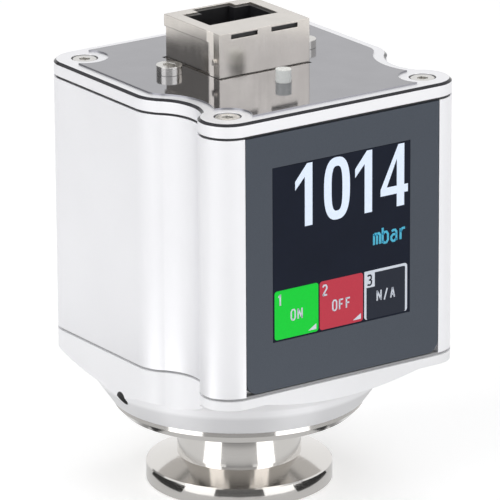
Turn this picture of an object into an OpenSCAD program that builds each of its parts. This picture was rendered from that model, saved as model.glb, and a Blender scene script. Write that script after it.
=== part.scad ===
// Pirani vacuum gauge: small-flange tube below, violin-shaped body, touch screen in front, socket on top.
// Origin at the centre of the flange's sealing face, +Z up, the screen faces -Y.

/* [Vacuum flange] */
// Outside diameter of the clamp flange
flange_d = 30; // [28:0.5:40]
// Height of the flange's straight rim
flange_rim = 3.2; // [2:0.1:4]
// Angle of the clamp cone on the back of the flange
flange_cone = 15; // [10:1:20]
// Outside diameter of the neck
tube_d = 20; // [19:0.5:24]
// Clear bore of the neck
bore_d = 16; // [13:0.5:16.5]
// Diameter of the recess for the centring ring
recess_d = 17.2; // [16.8:0.1:19]
// Depth of the recess for the centring ring
recess_h = 2.6; // [1.5:0.1:4]
// Height of the collar's underside above the sealing face
neck_top = 12.5; // [10:0.1:25]
// Diameter of the collar under the base
collar_d = 40.2; // [39:0.2:40.8]
// Diameter of the collar's underside
collar_low_d = 38; // [34:0.2:38.8]
// Thickness of the collar
collar_h = 2.1; // [1.6:0.1:3]
// Height of the collar's straight band
collar_band = 0.9; // [0.5:0.05:1.2]
// Bevel on the turned edges
turned_bevel = 0.2; // [0.1:0.05:0.4]

/* [Sensor] */
// Wall between the seat of the sensor and the outside of the spigot
spigot_wall = 2.5; // [2:0.1:4]
// Width of the ledge that the sensor's header sits on
seat_ledge = 3; // [2.6:0.1:3.5]
// Height of that ledge above the collar
seat_rise = 1.8; // [1.4:0.1:4]
// Drop from the collar's underside to the filter's seat
filter_drop = 1.2; // [0.8:0.1:3]
// Width of the filter's seat
filter_ledge = 1.5; // [1:0.1:2]
// Thickness of the filter disc
filter_t = 0.8; // [0.5:0.1:1.5]
// Diameter of one hole in the filter
filter_hole_d = 1.2; // [0.8:0.1:1.4]
// Spacing of the filter's holes
filter_pitch = 1.9; // [1.6:0.1:2.4]
// Thickness of the header
header_t = 2.5; // [2:0.1:4]
// Height of the threaded ring on the header
clamp_t = 3; // [2:0.1:5]
// Width of the threaded ring
clamp_w = 2.6; // [2:0.1:3]
// Wire diameter of the O-ring
seal_wire = 1.2; // [0.8:0.1:1.4]
// Number of pins through the header
pin_count = 8; // [4:1:12]
// Diameter of one pin
pin_d = 0.45; // [0.3:0.05:0.8]
// Diameter of the circle of pins
pin_circle = 8.6; // [7:0.1:9]
// Diameter of the glass bead round a pin
bead_d = 1.3; // [1.2:0.1:1.8]
// Length of a pin below the header
pin_below = 0.8; // [0.4:0.1:1.2]
// Height of the pierced can over the sensor
can_h = 2.2; // [1.6:0.1:2.6]
// Sheet thickness of the can
can_t = 0.3; // [0.2:0.05:0.5]
// Diameter of the hole in the can
can_hole_d = 4; // [2:0.1:6]
// Side of the square sensor chip
chip_side = 3.2; // [2:0.1:4]
// Thickness of the sensor chip
chip_t = 0.6; // [0.4:0.1:1]

/* [Base] */
// Diameter of the bowl's small end
bowl_low_d = 41.2; // [40.8:0.2:43]
// Diameter where the bowl meets the shallow underside
bowl_d = 47.8; // [46:0.2:52]
// Height of the base, from the collar to the lower seam
base_h = 10.3; // [9.8:0.1:14]
// Height of the full-outline band at the top of the base
band_h = 1.5; // [1.2:0.1:2.5]
// Angle of the bowl above the horizontal
bowl_slope = 55; // [48:1:57]
// Angle of the shallow underside above the horizontal
under_slope = 26; // [20:1:32]
// Diameter of the pocket in the top of the base
pocket_d = 35; // [30:0.5:37]
// Diameter of the hole for the lock screw
lock_d = 2.2; // [1.6:0.1:2.6]
// Height of the lock screw above the collar
lock_rise = 3.6; // [3.2:0.1:4.6]
// Place of the lock screw along the side
lock_y = -1; // [-3:0.1:3]
// Depth of the lock screw's head below the side
lock_sunk = 1.6; // [1.4:0.1:3]

/* [Body outline] */
// Width across the sides
body_w = 46.6; // [44:0.1:52]
// Distance of the corner screws from the sides, also the radius of the rear corners
screw_inset = 4.9; // [4.7:0.1:5.3]
// Place of the front corner screws
front_screw_y = -24.2; // [-27:0.1:-23]
// Place of the rear corner screws
rear_screw_y = 15.6; // [14:0.1:20]
// Radius of the round front posts
ear_r = 4.6; // [4.2:0.1:5]
// Depth of the hollow behind each front post, measured from the side
waist_depth = 4; // [3:0.1:4.6]
// Distance of the hollow's deepest point behind the front corner screws
waist_back = 8.2; // [7.6:0.1:9.4]
// Radius of the shoulder that leads into the hollow
shoulder_r = 6; // [4:0.1:8]

/* [Housing and lid] */
// Height of the housing between its two seams
housing_h = 41.5; // [40:0.5:60]
// Wall of the housing
wall = 2; // [1.6:0.1:2.4]
// Radius of the bosses round the corner screws
boss_r = 3.8; // [3:0.1:4.2]
// Thickness of the seals in the two seams
gasket_t = 0.4; // [0.3:0.05:1]
// Distance of a seal from the outside
gasket_inset = 0.35; // [0.2:0.05:0.6]
// Width of a seal
gasket_w = 1.2; // [0.9:0.1:1.3]
// Thickness of the lid
cap_h = 2.2; // [2.1:0.1:5]
// Bevel round the top of the lid
cap_bevel = 0.4; // [0.2:0.05:0.8]
// Thickness of the glossy plate on the lid
label_t = 0.25; // [0.1:0.05:0.6]
// Bare rim between the plate and the outside
label_inset = 2.1; // [1:0.1:3]
// Bare radius round each corner screw
label_clear = 3.8; // [2.6:0.1:4.4]

/* [Fasteners and fits] */
// Head diameter of the corner screws
head_d = 3.8; // [3.4:0.1:4.2]
// Head height of the corner screws
head_h = 1.3; // [1:0.1:1.4]
// Shank diameter of the corner screws
shank_d = 2.5; // [2:0.1:2.8]
// Gap round a head in its counterbore
head_gap = 0.25; // [0.15:0.05:0.4]
// Gap between pieces that slide together
fit = 0.1; // [0.05:0.05:0.2]
// Length of a corner screw inside the base
screw_bite = 1.8; // [1.2:0.1:1.9]
// Depth of the threaded holes in the base
tap_depth = 3.5; // [3.4:0.1:4]

/* [Display] */
// Width of a front post beside the panel
post_w = 5.05; // [4.9:0.05:6]
// Thickness of the front panel
panel_t = 1.4; // [1:0.1:1.8]
// Radius of the panel's lower corners
panel_corner = 2; // [1:0.1:4]
// Gap above the lower seam
panel_foot = 0.3; // [0.1:0.1:1]
// Housing wall behind the panel
front_wall = 2; // [1:0.1:2.6]
// Width of the screen
screen_w = 26; // [20:0.5:27]
// Height of the screen
screen_h = 28; // [20:0.5:30]
// Place of the screen's middle across the panel
screen_x = -0.3; // [-0.5:0.1:0.5]
// Height of the screen's middle above the lower seam
screen_rise = 22; // [20:0.1:23]
// Margin of the screen module round the screen
module_margin = 1.3; // [0.5:0.1:1.6]
// Thickness of the screen module
module_t = 3; // [2:0.1:4]
// Thickness of the screen's board
screen_board_t = 1.2; // [0.8:0.1:2]
// Part of the screen's board above and below the module
screen_board_margin = 2; // [0.5:0.1:2.2]

/* [Boards] */
// Thickness of the main board
board_t = 1.6; // [1:0.1:2]
// Place of the main board's front face
board_y = 3; // [1:0.1:6]
// Depth of the housing's guide grooves
groove_d = 0.8; // [0.4:0.1:1]
// Gap between the main board and the boards above and below it
board_gap = 2; // [1:0.1:4]
// Thickness of the sensor's round board
sensor_board_t = 1.2; // [0.8:0.1:2]
// Overhang of the sensor's round board past the spigot
sensor_board_lip = 1; // [0.5:0.1:2]
// Width of the plug between sensor board and main board
sensor_plug_w = 10; // [6:0.5:12]
// Thickness of the plugs on the main board
plug_t = 4.4; // [3:0.1:5]
// Width of the plug between main board and socket board
top_plug_w = 18; // [10:0.5:22]
// Height of that plug on the main board
top_plug_h = 5; // [3:0.5:8]
// Width of the flat cable to the screen
cable_w = 12; // [8:0.5:16]
// Thickness of the flat cable
cable_t = 0.3; // [0.2:0.05:0.6]
// Sag of the flat cable
cable_sag = 3; // [1:0.1:4]
// Depth of the flat cable's sockets
cable_socket_d = 2; // [1.5:0.1:3]
// Height of the flat cable's sockets
cable_socket_h = 4; // [3:0.1:6]
// Side of the square controller on the main board
controller_side = 9; // [6:0.5:10]
// Side of the small chips on the main board
small_chip_side = 4; // [3:0.5:5]
// Height of the chips on the main board
board_chip_t = 1.2; // [0.8:0.1:2]

/* [Socket] */
// Width of the shielded socket
jack_w = 16.4; // [16:0.1:17]
// Depth of the shielded socket
jack_d = 15.4; // [15:0.1:16]
// Height of the shielded socket
jack_h = 15; // [14:0.1:18]
// Height of the socket above the lid
jack_rise = 7.4; // [5:0.1:9]
// Gap round the socket in the lid
jack_gap = 0.4; // [0.3:0.05:0.8]
// Sheet thickness of the shield
sheet = 0.35; // [0.25:0.05:0.4]
// Width of the plug's opening
port_w = 12; // [11.7:0.1:12.2]
// Depth of the plug's opening without the latch
port_d = 6.7; // [6.6:0.1:7]
// Place of the front edge of the plug's opening
port_y = -1.6; // [-2:0.1:-1]
// Gap between the shield's cut-out and the plug's opening
port_gap = 0.5; // [0.1:0.1:0.6]
// Width of the latch's notch
latch_w = 6.2; // [6:0.1:7]
// Depth of the latch's notch
latch_d = 1.6; // [1.2:0.1:1.8]
// Floor under the plug's opening
port_floor = 2; // [1:0.1:3]
// Spacing of the eight contacts
contact_pitch = 1.02; // [1:0.01:1.1]
// Wire thickness of the contacts
contact_t = 0.3; // [0.2:0.05:0.4]
// Reach of the contacts into the opening
contact_reach = 1.9; // [1.2:0.1:2]
// Drop of the contacts' bends below the mouth
contact_drop = 2; // [1:0.1:3]
// Length of a contact's spring part
contact_spring = 4.6; // [3:0.1:6]
// Length of the two slits in the shield's front fold
slit_l = 5; // [3:0.1:5.6]
// Height of the two slits
slit_h = 0.7; // [0.4:0.1:1]
// Width of the bridge between the two slits
slit_gap = 2.6; // [1:0.1:3]
// Width of the shield's folded side flaps
flap_w = 2.8; // [2:0.1:5]
// Depth of the shield's folded lid flaps
lid_flap = 1.9; // [1:0.1:3]
// Radius of the locking dimple on a side flap
dimple_r = 0.5; // [0.3:0.05:0.8]
// Place of each screw beside the socket
stud_x = 12.8; // [12.2:0.1:13.2]
// Head diameter of the screws beside the socket
stud_head_d = 4.1; // [3:0.1:4.2]
// Head height of those screws
stud_head_h = 1.4; // [1:0.1:3]
// Shank diameter of those screws
stud_d = 2; // [1.6:0.1:2.4]
// Wall of the spacers on those screws
spacer_wall = 1.1; // [0.8:0.1:1.2]
// Width across the corners of the nuts
nut_d = 4.6; // [4.4:0.1:5]
// Height of the nuts
nut_h = 1.6; // [1:0.1:2.5]
// Diameter of the light pipe
pipe_d = 2.5; // [1.5:0.1:3]
// Height of the light pipe above the plate
pipe_rise = 2; // [0.5:0.1:3]
// Place of the light pipe across the lid
pipe_x = -1; // [-2:0.1:2]
// Place of the light pipe along the lid
pipe_y = -14.2; // [-15:0.1:-13]
// Width of the light pipe's shoulder under the lid
pipe_shoulder = 0.75; // [0.5:0.05:1]
// Height of the light pipe's shoulder
pipe_shoulder_h = 0.8; // [0.5:0.1:1]
// Length of the lamp under the light pipe
led_l = 1.6; // [1:0.1:2.4]
// Height of the lamp under the light pipe
led_h = 0.8; // [0.5:0.1:1.2]
// Part of the socket's board in front of the light pipe
socket_board_lip = 2.6; // [2:0.1:3]

/* [Hidden] */
$fn = 96;

// Overshoot of cutting tools past the faces they cut
over = 1;
// Overlap of the outline's hollows with its shoulders
bite = 0.02;
// Overlap of the outline's hollows with its front posts
post_bite = 0.5;
// Head room between the threaded ring and the sensor's board
ring_gap = 0.5;
// Part of a pin above the sensor's board
pin_proud = 0.7;
// Drop of the pocket's floor below the sensor's board
pocket_drop = 1;
// Width of a hexagon socket as a part of its head's diameter
hex_part = 0.5;
// Number of contacts in the socket
contact_count = 8;

// Turned tube
flange_r = flange_d / 2;
tube_r = tube_d / 2;
bore_r = bore_d / 2;
recess_r = recess_d / 2;
collar_r = collar_d / 2;
collar_low_r = collar_low_d / 2;
cone_top = flange_rim + (flange_r - tube_r) * tan(flange_cone);
collar_top = neck_top + collar_h;
throat_r = bore_r - filter_ledge;
filter_z = neck_top - filter_drop;
seat_r = throat_r + seat_ledge;
seat_z = collar_top + seat_rise;
spigot_r = seat_r + spigot_wall;
header_top = seat_z + header_t;
clamp_top = header_top + clamp_t;
spigot_top = clamp_top + ring_gap;
seal_r = throat_r + seat_ledge / 2;
pin_top = spigot_top + sensor_board_t + pin_proud;

// Heights of the stack
base_z = collar_top;
base_top = base_z + base_h;
band_z = base_top - band_h;
pocket_z = spigot_top - pocket_drop;
housing_z = base_top + gasket_t;
housing_top = housing_z + housing_h;
cap_z = housing_top + gasket_t;
cap_top = cap_z + cap_h;
label_top = cap_top + label_t;

// Body outline
half_w = body_w / 2;
screw_x = half_w - screw_inset;
rear_r = screw_inset;
rear_y = rear_screw_y + rear_r;
front_y = front_screw_y - ear_r;
waist_x = half_w - waist_depth;
waist_y = front_screw_y + waist_back;
waist_shift = waist_x - screw_x;
waist_reach = ear_r - post_bite;
waist_rest = waist_reach - waist_shift;
waist_r = (pow(waist_shift, 2) + pow(waist_back, 2) - pow(waist_reach, 2)) / (2 * waist_rest);
waist_c = [waist_x + waist_r, waist_y];
shoulder_x = half_w - shoulder_r;
shoulder_y = waist_y + sqrt(pow(shoulder_r + waist_r - bite, 2) - pow(waist_c.x - shoulder_x, 2));
ear_c = [screw_x, front_screw_y];
screw_places = [
    for (side = [-1, 1])
        for (y = [front_screw_y, rear_screw_y])
            [side * screw_x, y]
];

// Screws
shank_r = shank_d / 2;
sunk_h = head_h + fit;
tapped_r = shank_r + fit / 2;
tip_z = base_top - screw_bite;
shank_l = cap_top - sunk_h - tip_z;

// Display stack, from the front
panel_w = body_w - 2 * post_w;
panel_back = front_y + panel_t;
module_back = panel_back + module_t;
screen_board_back = module_back + screen_board_t;
screen_z = housing_z + screen_rise;
module_w = screen_w + 2 * module_margin;
module_h = screen_h + 2 * module_margin;
screen_board_h = module_h + 2 * screen_board_margin;

// Socket and its board
jack_top = cap_top + jack_rise;
jack_z = jack_top - jack_h;
jack_board_z = jack_z - board_t;
jack_board_w = 2 * (waist_x - wall - over);
jack_board_front = pipe_y - socket_board_lip;
jack_board_rear = rear_screw_y - boss_r - fit;
port_z = jack_z + port_floor;
port_top = jack_top - sheet;
stud_r = stud_d / 2;
pipe_r = pipe_d / 2;
led_top = jack_z + led_h;

// Main board
sensor_board_top = spigot_top + sensor_board_t;
main_z = max(housing_z, sensor_board_top + board_gap) + fit;
main_top = jack_board_z - board_gap;
main_half = half_w - wall + groove_d - fit;
board_back = board_y + board_t;
cable_from = screen_board_back + cable_socket_d;
cable_to = board_y - cable_socket_d;
cable_half = (cable_to - cable_from) / 2;
cable_r = (pow(cable_half, 2) + pow(cable_sag, 2)) / (2 * cable_sag);

aluminium = [0.87, 0.87, 0.89];
steel = [0.74, 0.72, 0.69];
board_green = [0.12, 0.38, 0.22];
black_plastic = [0.06, 0.06, 0.07];
gold = [0.83, 0.66, 0.3];
rubber = [0.12, 0.12, 0.13];

// Copies its children to the left and to the right side
module both_sides() {
    children();
    mirror([1, 0, 0]) children();
}

// A rod along Z, from z0 to z1
module rod(r, z0, z1) {
    translate([0, 0, z0]) cylinder(r = r, h = z1 - z0);
}

// A ring along Z, from z0 to z1
module ring(r_out, r_in, z0, z1) {
    difference() {
        rod(r_out, z0, z1);
        rod(r_in, z0 - over, z1 + over);
    }
}

// A box given by its middle across X and its limits along Y and Z
module slab(x, w, y0, y1, z0, z1) {
    translate([x - w / 2, y0, z0]) cube([w, y1 - y0, z1 - z0]);
}

// Front part of the body outline, before the hollows are cut, with its front edge moved inwards by e
module front_field(e) {
    right = [
        [shoulder_x, (shoulder_y + rear_screw_y) / 2], [shoulder_x, shoulder_y], waist_c, ear_c,
        [screw_x, front_y + e]
    ];
    left = [for (i = [len(right) - 1 : -1 : 0]) [-right[i].x, right[i].y]];
    polygon(concat(right, left));
}

// Block from z0 to z1 with the body outline moved inwards by e
module block(e, z0, z1) {
    slab(0, body_w - 2 * e, shoulder_y, rear_screw_y, z0, z1);
    slab(0, 2 * screw_x, 0, rear_y - e, z0, z1);
    both_sides() {
        translate([screw_x, rear_screw_y, 0]) rod(rear_r - e, z0, z1);
        translate(ear_c) rod(ear_r - e, z0, z1);
        translate([shoulder_x, shoulder_y, 0]) rod(shoulder_r - e, z0, z1);
    }
    difference() {
        translate([0, 0, z0]) linear_extrude(z1 - z0) front_field(e);
        both_sides() translate(waist_c) rod(waist_r + e, z0 - over, z1 + over);
    }
}

// A bar of length l towards +Y whose two long sides slope inwards by c over its height c
module bevelled_bar(w, l, c) {
    translate([0, l, 0])
        rotate([90, 0, 0])
            linear_extrude(l)
                polygon([[-w / 2, 0], [w / 2, 0], [w / 2 - c, c], [c - w / 2, c]]);
}

// Layer of height c whose outline shrinks from the body outline to one moved inwards by c
module plan_bevel(c) {
    translate([0, shoulder_y, 0]) bevelled_bar(body_w, rear_screw_y - shoulder_y, c);
    translate([-screw_x, rear_screw_y, 0]) rotate([0, 0, -90]) bevelled_bar(2 * rear_r, 2 * screw_x, c);
    both_sides() {
        translate([screw_x, rear_screw_y, 0]) cylinder(r1 = rear_r, r2 = rear_r - c, h = c);
        translate(concat(ear_c, 0)) cylinder(r1 = ear_r, r2 = ear_r - c, h = c);
        translate([shoulder_x, shoulder_y, 0]) cylinder(r1 = shoulder_r, r2 = shoulder_r - c, h = c);
    }
    difference() {
        linear_extrude(c) front_field(0);
        both_sides() translate(concat(waist_c, 0)) cylinder(r1 = waist_r, r2 = waist_r + c, h = c);
        translate([-half_w, front_y, 0])
            rotate([90, 0, 90])
                linear_extrude(body_w)
                    polygon([[-over, -over], [c + over, c + over], [-over, c + over]]);
    }
}

// Puts its children at each corner screw
module at_screws() {
    for (place = screw_places)
        translate(place) children();
}

// Puts its children at the two screws beside the socket
module at_studs() {
    for (side = [-1, 1])
        translate([side * stud_x, 0, 0]) children();
}

module flange_tube() {
    b = turned_bevel;
    seal_half = seal_wire / 2 + fit;
    seal_floor = seat_z - seal_wire - fit;
    color(steel)
        rotate_extrude()
            polygon([
                [recess_r, 0], [flange_r - b, 0], [flange_r, b], [flange_r, flange_rim - b],
                [flange_r - b, flange_rim], [tube_r, cone_top], [tube_r, neck_top],
                [collar_low_r, neck_top], [collar_r, collar_top - collar_band],
                [collar_r, collar_top - b], [collar_r - b, collar_top], [spigot_r, collar_top],
                [spigot_r, spigot_top], [seat_r, spigot_top], [seat_r, seat_z], [seal_r + seal_half, seat_z],
                [seal_r + seal_half, seal_floor], [seal_r - seal_half, seal_floor],
                [seal_r - seal_half, seat_z], [throat_r, seat_z], [throat_r, filter_z],
                [bore_r, filter_z], [bore_r, recess_h], [recess_r, recess_h]
            ]);
}

// Perforated disc that keeps dust from the sensor
module inlet_filter() {
    rows = ceil(throat_r / filter_pitch);
    color(steel)
        difference() {
            rod(bore_r - fit, filter_z - filter_t, filter_z);
            for (row = [-rows : rows])
                for (col = [-rows : rows]) {
                    x = (col + row / 2) * filter_pitch;
                    y = row * filter_pitch * sin(60);
                    if (norm([x, y]) < throat_r - filter_hole_d / 2 - fit)
                        translate([x, y, 0])
                            rod(filter_hole_d / 2, filter_z - filter_t - over, filter_z + over);
                }
        }
}

// Open snap ring below the filter
module filter_ring() {
    ring_w = filter_ledge - fit;
    color(steel)
        difference() {
            ring(bore_r - fit, bore_r - ring_w, filter_z - 2 * filter_t, filter_z - filter_t);
            slab(0, 2 * ring_w, 0, bore_r + over, filter_z - 3 * filter_t, filter_z);
        }
}

module sensor_seal() {
    color(rubber)
        translate([0, 0, seat_z - seal_wire / 2])
            rotate_extrude()
                translate([seal_r, 0]) circle(r = seal_wire / 2);
}

// Puts its children at each pin of the header
module at_pins() {
    for (i = [0 : pin_count - 1])
        rotate([0, 0, i * 360 / pin_count])
            translate([pin_circle / 2, 0, 0]) children();
}

module sensor_header() {
    color(steel)
        difference() {
            rod(seat_r - fit, seat_z, header_top);
            at_pins() rod(bead_d / 2, seat_z - over, header_top + over);
        }
}

// Glass beads that seal the pins
module pin_seals() {
    color([0.2, 0.3, 0.25])
        at_pins() ring(bead_d / 2, pin_d / 2, seat_z, header_top);
}

module sensor_pins() {
    color(gold)
        at_pins() rod(pin_d / 2, seat_z - pin_below, pin_top);
}

module sensor_chip() {
    color([0.35, 0.36, 0.4])
        slab(0, chip_side, -chip_side / 2, chip_side / 2, seat_z - chip_t, seat_z);
}

// Pierced can over the chip and the lower ends of the pins
module sensor_can() {
    can_r = throat_r - 2 * fit;
    color(steel)
        difference() {
            rod(can_r, seat_z - can_h, seat_z);
            rod(can_r - can_t, seat_z - can_h + can_t, seat_z + over);
            rod(can_hole_d / 2, seat_z - can_h - over, seat_z);
        }
}

// Threaded ring with two spanner slots
module clamp_ring() {
    slot = clamp_w / 2;
    color(steel)
        difference() {
            ring(seat_r - fit, seat_r - clamp_w, header_top, clamp_top);
            slab(0, slot, -spigot_r, spigot_r, clamp_top - slot, clamp_top + over);
        }
}

module sensor_board() {
    color(board_green)
        difference() {
            rod(spigot_r + sensor_board_lip, spigot_top, sensor_board_top);
            at_pins() rod(pin_d / 2 + fit, spigot_top - over, sensor_board_top + over);
        }
}

// Plug that joins the sensor's board to the main board
module sensor_plug() {
    middle = board_y + board_t / 2;
    half = plug_t / 2;
    color(black_plastic)
        difference() {
            slab(0, sensor_plug_w, middle - half, middle + half, sensor_board_top, main_z);
            at_pins() rod(pin_d / 2 + fit, sensor_board_top - over, pin_top + fit);
        }
}

// Profile of the underside: a steep bowl on the collar, then a shallow cone up to the band
module base_profile() {
    low_r = bowl_low_d / 2;
    bowl_r = bowl_d / 2;
    bowl_z = base_z + (bowl_r - low_r) * tan(bowl_slope);
    under_r = bowl_r + (band_z - bowl_z) / tan(under_slope);
    far = 2 * body_w;
    polygon([
        [0, base_z], [low_r, base_z], [bowl_r, bowl_z], [under_r, band_z], [far, band_z], [far, base_top],
        [0, base_top]
    ]);
}

// Radial hole from the left side to the spigot
module lock_hole(r, x0, x1) {
    translate([x0, lock_y, base_z + lock_rise])
        rotate([0, 90, 0]) cylinder(r = r, h = x1 - x0);
}

module base_cap() {
    color(aluminium)
        difference() {
            intersection() {
                block(0, base_z, base_top);
                rotate_extrude() base_profile();
            }
            rod(spigot_r + fit, base_z - over, base_top + over);
            rod(max(pocket_d / 2, spigot_r + sensor_board_lip + over), pocket_z, base_top + over);
            lock_hole(lock_d / 2, -half_w - over, -spigot_r);
            at_screws() rod(tapped_r, base_top - tap_depth, base_top + over);
        }
}

module lock_screw() {
    outer = lock_sunk - half_w;
    inner = -spigot_r - fit;
    screw_r = lock_d / 2 - fit;
    socket_r = screw_r * hex_part;
    color(steel)
        difference() {
            lock_hole(screw_r, outer, inner);
            translate([outer - over, lock_y, base_z + lock_rise])
                rotate([0, 90, 0]) cylinder(r = socket_r, h = screw_r + over, $fn = 6);
        }
}

// One long corner screw with its head upwards and the head's underside at z = 0
module corner_screw() {
    socket_r = head_d / 2 * hex_part;
    difference() {
        union() {
            rod(head_d / 2, 0, head_h);
            rod(shank_r, -shank_l, 0);
        }
        translate([0, 0, head_h / 2]) cylinder(r = socket_r, h = head_h, $fn = 6);
    }
}

// Seal with its underside at z
module gasket_ring(z) {
    difference() {
        block(gasket_inset, z, z + gasket_t);
        block(gasket_inset + gasket_w, z - over, z + gasket_t + over);
    }
}

module base_gasket() {
    color(rubber) gasket_ring(base_top);
}

module top_gasket() {
    color(rubber) gasket_ring(housing_top);
}

// Inside of the housing, between the corner bosses
module cavity(z0, z1) {
    difference() {
        block(wall, z0, z1);
        at_screws() rod(boss_r, z0 - over, z1 + over);
        slab(0, body_w, front_y, panel_back + front_wall, z0 - over, z1 + over);
    }
}

module housing() {
    low = housing_z - over;
    high = housing_top + over;
    color(aluminium)
        difference() {
            block(0, housing_z, housing_top);
            cavity(low, high);
            slab(0, panel_w + 2 * fit, front_y - over, panel_back, low, high);
            slab(0, 2 * (main_half + fit), board_y - fit, board_back + fit, low, high);
            slab(screen_x, module_w + 2 * fit, panel_back - over, module_back + fit,
                screen_z - module_h / 2 - fit, screen_z + module_h / 2 + fit);
            slab(screen_x, module_w + 2 * fit, module_back - fit, screen_board_back + fit,
                screen_z - screen_board_h / 2 - fit, screen_z + screen_board_h / 2 + fit);
            at_screws() rod(shank_r + fit, low, high);
        }
}

module main_board() {
    color(board_green)
        slab(0, 2 * main_half, board_y, board_back, main_z, main_top);
}

// Controller and two small chips on the front of the main board
module main_chips() {
    front = board_y - board_chip_t;
    low = main_z + controller_side;
    small = small_chip_side / 2;
    color(black_plastic) {
        slab(0, controller_side, front, board_y, low - controller_side / 2, low + controller_side / 2);
        both_sides()
            slab(controller_side + small, small_chip_side, front, board_y, low - small, low + small);
    }
}

// Plug that joins the main board to the socket's board
module board_header() {
    color(black_plastic)
        slab(0, top_plug_w, board_back, board_back + plug_t, main_top - top_plug_h, jack_board_z);
}

// Flat cable between the screen's board and the main board, hanging in an arc
module link_cable() {
    middle = (cable_from + cable_to) / 2;
    color([0.85, 0.83, 0.75])
        translate([-cable_w / 2, 0, screen_z])
            rotate([90, 0, 90])
                linear_extrude(cable_w)
                    intersection() {
                        translate([cable_from, -cable_socket_h / 2 - cable_sag])
                            square([2 * cable_half, cable_socket_h + cable_sag]);
                        translate([middle, cable_r - cable_sag])
                            difference() {
                                circle(r = cable_r + cable_t / 2);
                                circle(r = cable_r - cable_t / 2);
                            }
                    }
}

module link_sockets() {
    socket_w = cable_w + cable_socket_d;
    low = screen_z - cable_socket_h / 2;
    high = screen_z + cable_socket_h / 2;
    color([0.8, 0.77, 0.68]) {
        slab(0, socket_w, screen_board_back, cable_from, low, high);
        slab(0, socket_w, cable_to, board_y, low, high);
    }
}

// Panel outline in X and Z, with round lower corners
module panel_outline() {
    low = housing_z + panel_foot;
    span = panel_w - 2 * panel_corner;
    translate([-panel_w / 2, low + panel_corner]) square([panel_w, housing_top - fit - low - panel_corner]);
    translate([-span / 2, low]) square([span, panel_corner]);
    for (side = [-1, 1])
        translate([side * span / 2, low + panel_corner]) circle(r = panel_corner);
}

module front_panel() {
    color([0.31, 0.33, 0.37])
        difference() {
            translate([0, panel_back, 0]) rotate([90, 0, 0]) linear_extrude(panel_t) panel_outline();
            slab(screen_x, screen_w + fit, front_y - over, panel_back + over,
                screen_z - (screen_h + fit) / 2, screen_z + (screen_h + fit) / 2);
        }
}

module screen_glass() {
    color([0.13, 0.15, 0.2])
        slab(screen_x, screen_w, front_y, panel_back, screen_z - screen_h / 2, screen_z + screen_h / 2);
}

module display_module() {
    color([0.55, 0.56, 0.58])
        slab(screen_x, module_w, panel_back, module_back, screen_z - module_h / 2, screen_z + module_h / 2);
}

module display_board() {
    color(board_green)
        slab(screen_x, module_w, module_back, screen_board_back,
            screen_z - screen_board_h / 2, screen_z + screen_board_h / 2);
}

// Opening in the lid for the socket
module jack_opening(gap) {
    y = jack_d / 2 + gap;
    slab(0, jack_w + 2 * gap, -y, y, cap_z - over, label_top + over);
}

module top_cap() {
    color(aluminium)
        difference() {
            union() {
                block(0, cap_z, cap_top - cap_bevel);
                translate([0, 0, cap_top - cap_bevel]) plan_bevel(cap_bevel);
            }
            jack_opening(jack_gap);
            at_screws() {
                rod(shank_r + fit, cap_z - over, cap_top + over);
                rod(head_d / 2 + head_gap, cap_top - sunk_h, cap_top + over);
            }
            at_studs() rod(stud_r + fit, cap_z - over, cap_top + over);
            translate([pipe_x, pipe_y, 0]) rod(pipe_r + fit, cap_z - over, cap_top + over);
        }
}

module top_label() {
    color([0.62, 0.62, 0.64])
        difference() {
            block(label_inset, cap_top, label_top);
            jack_opening(jack_gap + fit);
            at_screws() rod(label_clear, cap_z, label_top + over);
            at_studs() rod(stud_r + fit, cap_z, label_top + over);
            translate([pipe_x, pipe_y, 0]) rod(pipe_r + fit, cap_z, label_top + over);
        }
}

module top_screws() {
    color(steel)
        at_screws()
            translate([0, 0, cap_top - sunk_h]) corner_screw();
}

module jack_board() {
    color(board_green)
        difference() {
            slab(0, jack_board_w, jack_board_front, jack_board_rear, jack_board_z, jack_z);
            at_studs() rod(stud_r + fit, jack_board_z - over, jack_z + over);
        }
}

// Plug opening with its latch notch at the rear, seen from above
module port(gap) {
    translate([-port_w / 2 - gap, port_y - gap]) square([port_w + 2 * gap, port_d + 2 * gap]);
    translate([-latch_w / 2 - gap, port_y]) square([latch_w + 2 * gap, port_d + latch_d + gap]);
}

// Folded sheet shield, open below, with folded flaps on its sides and two slits in its front fold
module jack_shield() {
    x0 = jack_w / 2;
    y0 = jack_d / 2;
    flap_z = jack_top - lid_flap;
    dimple_z = (cap_top + flap_z) / 2;
    color([0.76, 0.74, 0.71])
        difference() {
            union() {
                slab(0, jack_w, -y0, y0, jack_z, jack_top);
                both_sides() {
                    slab(x0, 2 * sheet, -y0, flap_w - y0, label_top, flap_z);
                    slab(x0, 2 * sheet, -y0, y0, flap_z, jack_top);
                    translate([x0, flap_w / 2 - y0, dimple_z])
                        rotate([0, 90, 0]) cylinder(r = dimple_r, h = 2 * sheet);
                }
            }
            slab(0, jack_w - 2 * sheet, sheet - y0, y0 - sheet, jack_z - over, jack_top - sheet);
            translate([0, 0, jack_top - over]) linear_extrude(2 * over) port(port_gap);
            for (side = [-1, 1])
                slab(side * (slit_gap + slit_l) / 2, slit_l, -y0 - over, sheet - y0,
                    jack_top - sheet - slit_h, jack_top - sheet);
        }
}

module jack_insert() {
    w = jack_w - 2 * sheet - 2 * fit;
    half_d = jack_d / 2 - sheet - fit;
    color(black_plastic)
        difference() {
            slab(0, w, -half_d, half_d, jack_z, port_top);
            translate([0, 0, port_z]) linear_extrude(jack_h) port(0);
        }
}

// One contact as a bent wire: up the front wall of the opening, over and down into it
module contact_profile() {
    t = contact_t;
    high = port_top - port_z - contact_drop;
    low = high - contact_spring;
    polygon([
        [fit, 0], [fit + t, 0], [fit + t, high - 2 * t], [contact_reach - t, low],
        [contact_reach, low], [fit + 2 * t, high], [fit, high]
    ]);
}

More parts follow.
